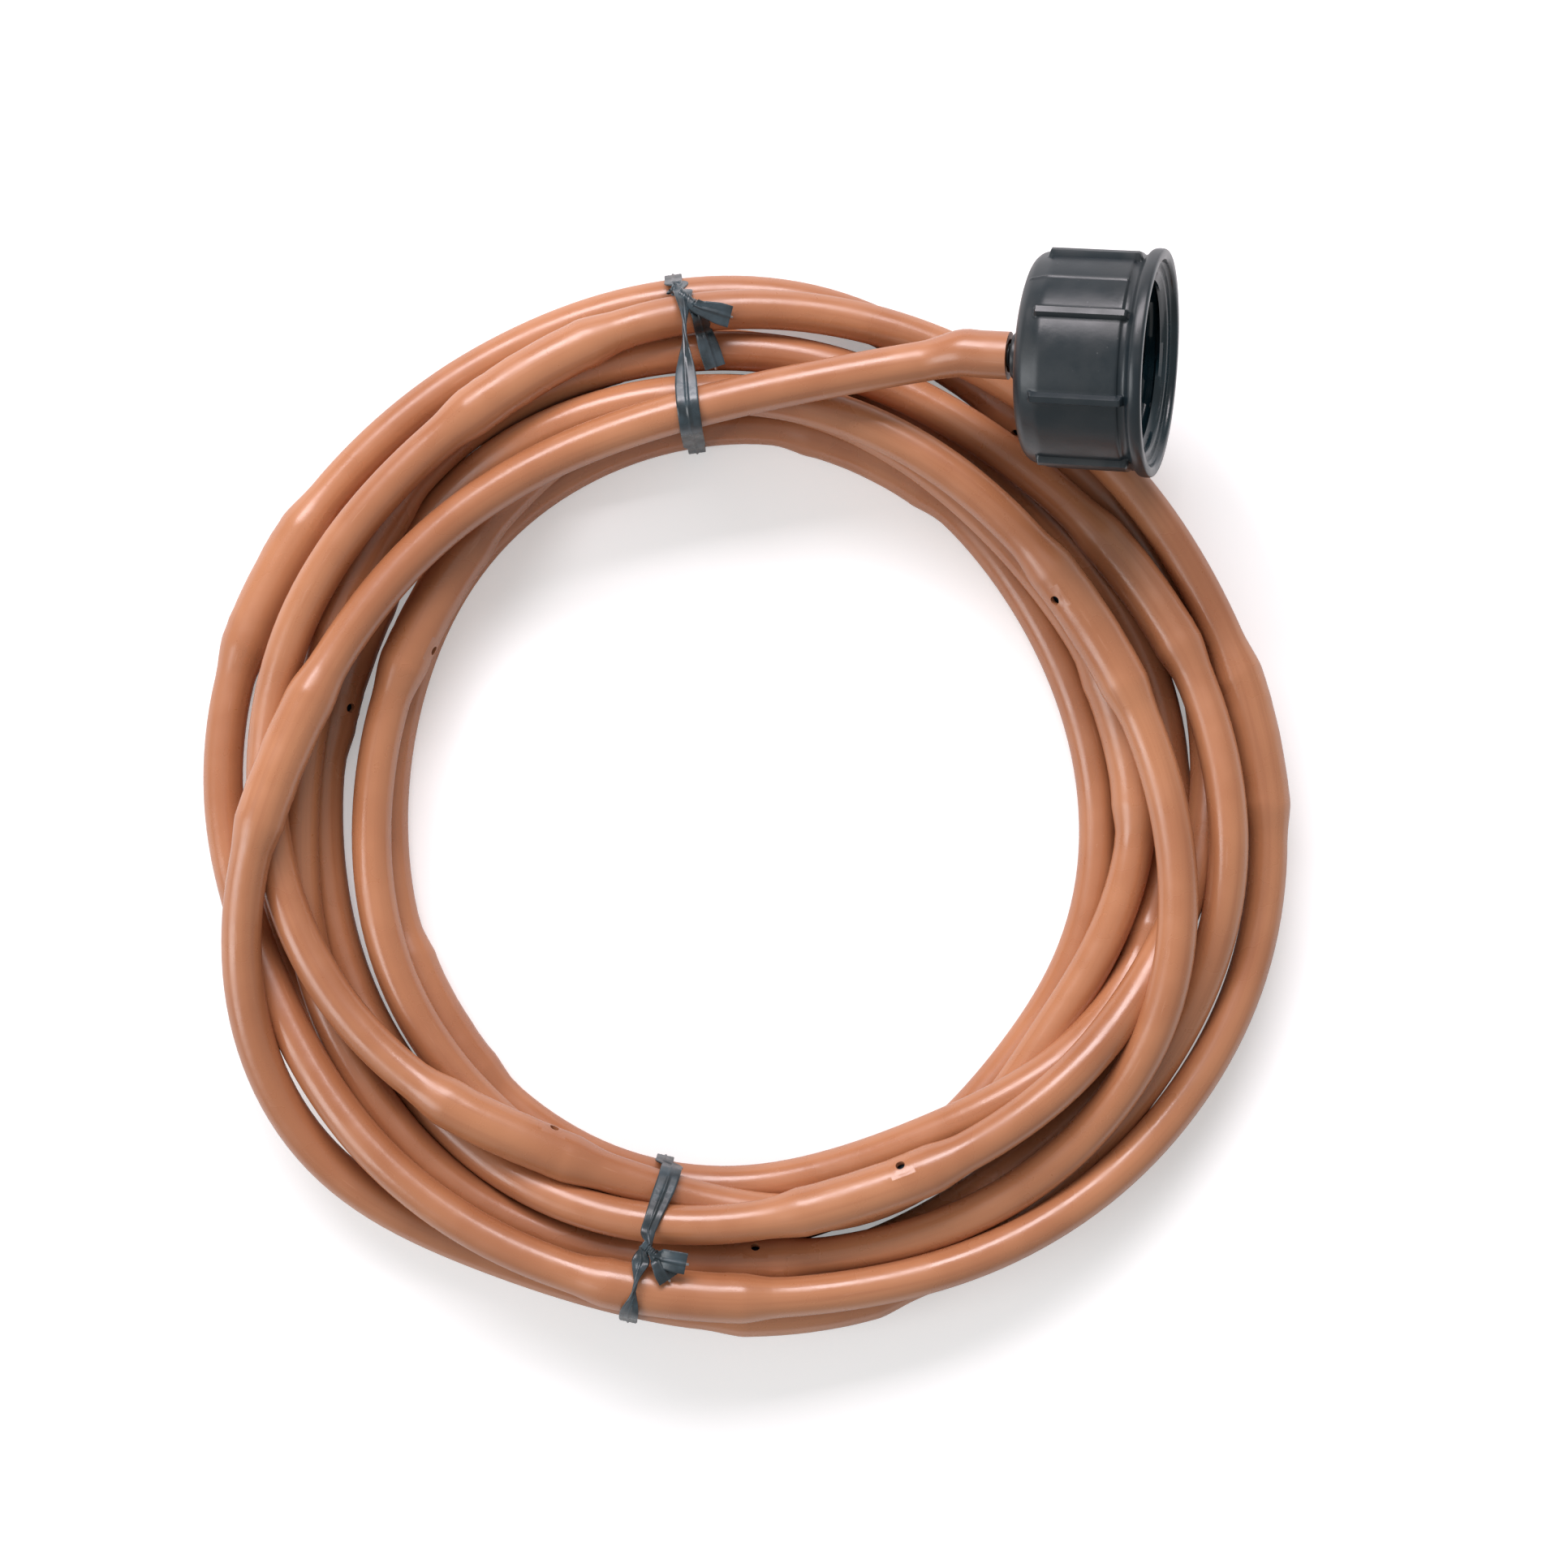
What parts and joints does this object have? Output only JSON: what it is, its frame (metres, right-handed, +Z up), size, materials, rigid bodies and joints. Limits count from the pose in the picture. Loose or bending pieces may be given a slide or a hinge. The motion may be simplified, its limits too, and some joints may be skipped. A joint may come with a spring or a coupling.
{
  "type": "coiled soaker hose",
  "caption": "Coiled drip-line soaker hose with sealed in-line emitters, two twist ties, an end plug and a ribbed swivel nut that screws onto an outdoor tap.",
  "frame": {"origin": "on the ground under the middle of the whole part's box", "axes": "+Z up, the coil lies flat; the swivel nut's mouth points to +X, 15 degrees up and 5 degrees to -Y"},
  "size_m": [0.1766, 0.1732, 0.0523],
  "materials": {
    "brown_polyethylene": "satin",
    "emitter_plastic": "satin",
    "nut_plastic": "gloss",
    "washer_rubber": "matte",
    "screen_plastic": "satin",
    "plug_plastic": "satin",
    "tie_plastic": "gloss"
  },
  "bodies": {
    "coiled_hose": {"hose": "brown_polyethylene", "emitter_01": "emitter_plastic", "emitter_02": "emitter_plastic", "emitter_03": "emitter_plastic", "emitter_04": "emitter_plastic", "emitter_05": "emitter_plastic", "emitter_06": "emitter_plastic", "emitter_07": "emitter_plastic", "emitter_08": "emitter_plastic", "emitter_09": "emitter_plastic", "emitter_10": "emitter_plastic", "emitter_11": "emitter_plastic", "emitter_12": "emitter_plastic", "emitter_13": "emitter_plastic", "emitter_14": "emitter_plastic", "emitter_15": "emitter_plastic", "emitter_16": "emitter_plastic", "emitter_17": "emitter_plastic", "emitter_18": "emitter_plastic", "emitter_19": "emitter_plastic", "emitter_20": "emitter_plastic", "emitter_21": "emitter_plastic", "emitter_22": "emitter_plastic", "barbed_tailpiece": "nut_plastic", "hose_washer": "washer_rubber", "filter_screen": "screen_plastic", "end_plug": "plug_plastic", "twist_tie_top": "tie_plastic", "twist_tie_bottom": "tie_plastic"},
    "swivel_nut": {"coupling_nut": "nut_plastic"}
  },
  "joints": [
    {"name": "nut_swivel", "type": "hinge", "parent": "coiled_hose", "child": "swivel_nut", "pos_m": [0.04381, 0.06885, 0.03052], "axis": [0.9623, -0.0842, 0.2588], "continuous": true}
  ]
}
